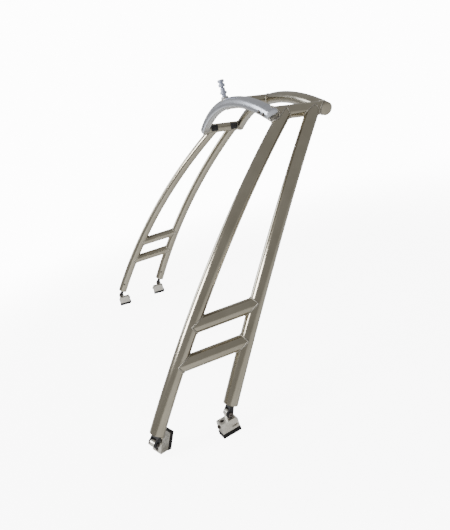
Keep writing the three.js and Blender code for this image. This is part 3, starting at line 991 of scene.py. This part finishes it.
def build_foot(side_name, fore):
    name = f"{side_name}_{fore}"
    side, shelf = SIDES[side_name], -FORES[fore]
    swivel, pitch = JOINTS[f"{name}_swivel"], JOINTS[f"{name}_pitch"]
    leg_end, leg_up = Vector(swivel["pos_m"]), Vector(swivel["axis"]).normalized()
    pin, pin_axis = Vector(pitch["pos_m"]), Vector(pitch["axis"]).normalized()
    block_up = -Vector(MOUNTS[f"pad_{name}"]["axis"]).normalized()
    across = leg_up.cross(UP).normalized()
    on_leg = basis(across, leg_up.cross(across), leg_up, leg_end)
    on_fork = basis(pin_axis, leg_up.cross(pin_axis), leg_up, leg_end)
    on_block = basis(pin_axis, block_up.cross(pin_axis), block_up, pin)
    knuckle, foot = f"{name}_knuckle", f"{name}_foot"

    add_piece(f"{name}_leg_plug", moved(insert_mesh(), on_leg), "foot_alloy", "tower",
              [f"{name}_insert"])
    inboard = Matrix.Translation((0, 0, SET_SCREW_UP)) @ Matrix.Rotation(
        -side * math.pi / 2, 4, "Y") @ Matrix.Translation((0, 0, TUBE_R + 0.0012))
    screw = button_screw(0.007, 0.0043, 0.004, 0.0035, 0.006)
    add_piece(f"{name}_grub_screw", moved(screw, on_leg @ inboard), "dark_steel", "tower",
              [f"{name}_set_screw"])

    add_piece(f"{name}_fork_body", moved(fork_mesh(), on_fork), "black_moulding", knuckle,
              [f"{name}_fork"])
    at_pin = on_fork @ Matrix.Translation((0, 0, -PIN_DROP)) @ Matrix.Rotation(
        side * math.pi / 2, 4, "Y")
    bolt, nut = pivot_bolt_meshes()
    add_piece(f"{name}_pin_bolt", moved(bolt, at_pin), "dark_steel", knuckle,
              [f"{name}_pivot_bolt"])
    add_piece(f"{name}_pin_nut", moved(nut, at_pin), "dark_steel", knuckle)

    add_piece(f"{name}_base_block", moved(base_mesh(side, shelf), on_block), "foot_alloy", foot,
              [f"{name}_base"])
    add_piece(f"{name}_rubber", moved(pad_mesh(shelf), on_block), "rubber", foot,
              [f"{name}_pad"])
    add_piece(f"{name}_deck_bolt", moved(mount_bolt_mesh(shelf), on_block), "dark_steel", foot,
              [f"{name}_mount_bolt"])
    add_piece(f"{name}_clamp_screw", moved(end_screw_mesh(shelf), on_block), "dark_steel", foot,
              [f"{name}_end_screw"])


# ---- studio --------------------------------------------------------------------------------
def build_camera():
    ahead = Vector((
        -math.cos(CAMERA_YAW) * math.cos(CAMERA_PITCH),
        math.sin(CAMERA_YAW) * math.cos(CAMERA_PITCH),
        -math.sin(CAMERA_PITCH),
    ))
    level = ahead.cross(UP).normalized()
    upright = level.cross(ahead)
    right = level * math.cos(CAMERA_ROLL) + upright * math.sin(CAMERA_ROLL)
    top = upright * math.cos(CAMERA_ROLL) - level * math.sin(CAMERA_ROLL)
    data = bpy.data.cameras.new("camera")
    data.lens = CAMERA_LENS
    data.sensor_width = 36.0
    data.clip_end = 200.0
    camera = bpy.data.objects.new("camera", data)
    camera.matrix_world = basis(right, top, -ahead, CAMERA_AT)
    bpy.context.scene.collection.objects.link(camera)
    bpy.context.scene.camera = camera


BACKDROP = 13.0                 # how bright the room is to the camera
FLOOR_GLOW = 8.0                # what the floor adds to its own light, to the camera
ROOM_LIGHT = 0.40               # how bright the room is to the metal
FLOOR_HALF = 60.0
FLOOR_FADE = (1.4, 5.0)         # how far out the floor turns into the backdrop
WHITE = (1.0, 1.0, 1.0, 1.0)


def build_floor():
    """A plain pale floor that fades into the backdrop. Its glow is for the camera only."""
    bm = bmesh.new()
    bmesh.ops.create_grid(bm, x_segments=2, y_segments=2, size=FLOOR_HALF)
    mesh = bpy.data.meshes.new("floor")
    bm.to_mesh(mesh)
    bm.free()
    material = bpy.data.materials.new("floor")
    n = Nodes(material)
    place = object_place(n)
    fleck = n.noise(place, 3.0, 3.0)
    ground = n.ramp(fleck, [(0.3, (0.90, 0.90, 0.89)), (0.7, (0.93, 0.93, 0.92))])
    lit = n.add("ShaderNodeBsdfDiffuse", {"Color": ground})
    glow = n.add("ShaderNodeEmission", {"Color": WHITE, "Strength": FLOOR_GLOW})
    near = n.add("ShaderNodeAddShader", {0: lit.outputs["BSDF"], 1: glow.outputs["Emission"]})
    away = n.add("ShaderNodeEmission", {"Color": WHITE, "Strength": BACKDROP})
    reach = n.add("ShaderNodeVectorMath", {0: place}, operation="LENGTH").outputs["Value"]
    fade = n.add(
        "ShaderNodeMapRange",
        {"Value": reach, "From Min": FLOOR_FADE[0], "From Max": FLOOR_FADE[1]},
        interpolation_type="SMOOTHSTEP",
    )
    shown = n.add("ShaderNodeMixShader", {
        0: fade.outputs["Result"], 1: near.outputs["Shader"], 2: away.outputs["Emission"]})
    seen = n.add("ShaderNodeLightPath").outputs["Is Camera Ray"]
    both = n.add("ShaderNodeMixShader", {
        0: seen, 1: lit.outputs["BSDF"], 2: shown.outputs["Shader"]})
    n.add("ShaderNodeOutputMaterial", {"Surface": both.outputs["Shader"]})
    mesh.materials.append(material)
    floor = bpy.data.objects.new("floor", mesh)
    floor.location.z = -0.0005
    bpy.context.scene.collection.objects.link(floor)


def build_world():
    """Even soft light from all round. The backdrop is white to the camera."""
    world = bpy.data.worlds.new("room")
    bpy.context.scene.world = world
    world.use_nodes = True
    n = Nodes(world)
    seen = n.add("ShaderNodeLightPath").outputs["Is Camera Ray"]
    plain = n.add("ShaderNodeBackground", {"Color": WHITE, "Strength": BACKDROP})
    lit = n.add("ShaderNodeBackground", {"Color": WHITE, "Strength": ROOM_LIGHT})
    mix = n.add("ShaderNodeMixShader", {
        0: seen, 1: lit.outputs["Background"], 2: plain.outputs["Background"]})
    n.add("ShaderNodeOutputWorld", {"Surface": mix.outputs["Shader"]})


def add_light(name, place, aim, size, power, colour=(1.0, 1.0, 1.0)):
    data = bpy.data.lights.new(name, "AREA")
    data.size = size
    data.energy = power
    data.color = colour
    light = bpy.data.objects.new(name, data)
    light.location = place
    light.rotation_euler = (Vector(aim) - Vector(place)).to_track_quat("-Z", "Y").to_euler()
    bpy.context.scene.collection.objects.link(light)


build_camera()
build_floor()
build_world()
add_light("key", place=(1.2, -4.8, 4.6), aim=(0.4, 0.0, 0.7), size=2.4, power=330.0)
add_light("fill", place=(-4.2, -3.6, 3.4), aim=(0.0, 0.2, 0.9), size=3.0, power=160.0,
          colour=(0.90, 0.94, 1.0))

build_hoops()
build_spine()
build_splice()
build_tow_post()
for side_name in SIDES:
    build_side(side_name)
    for fore in FORES:
        build_foot(side_name, fore)
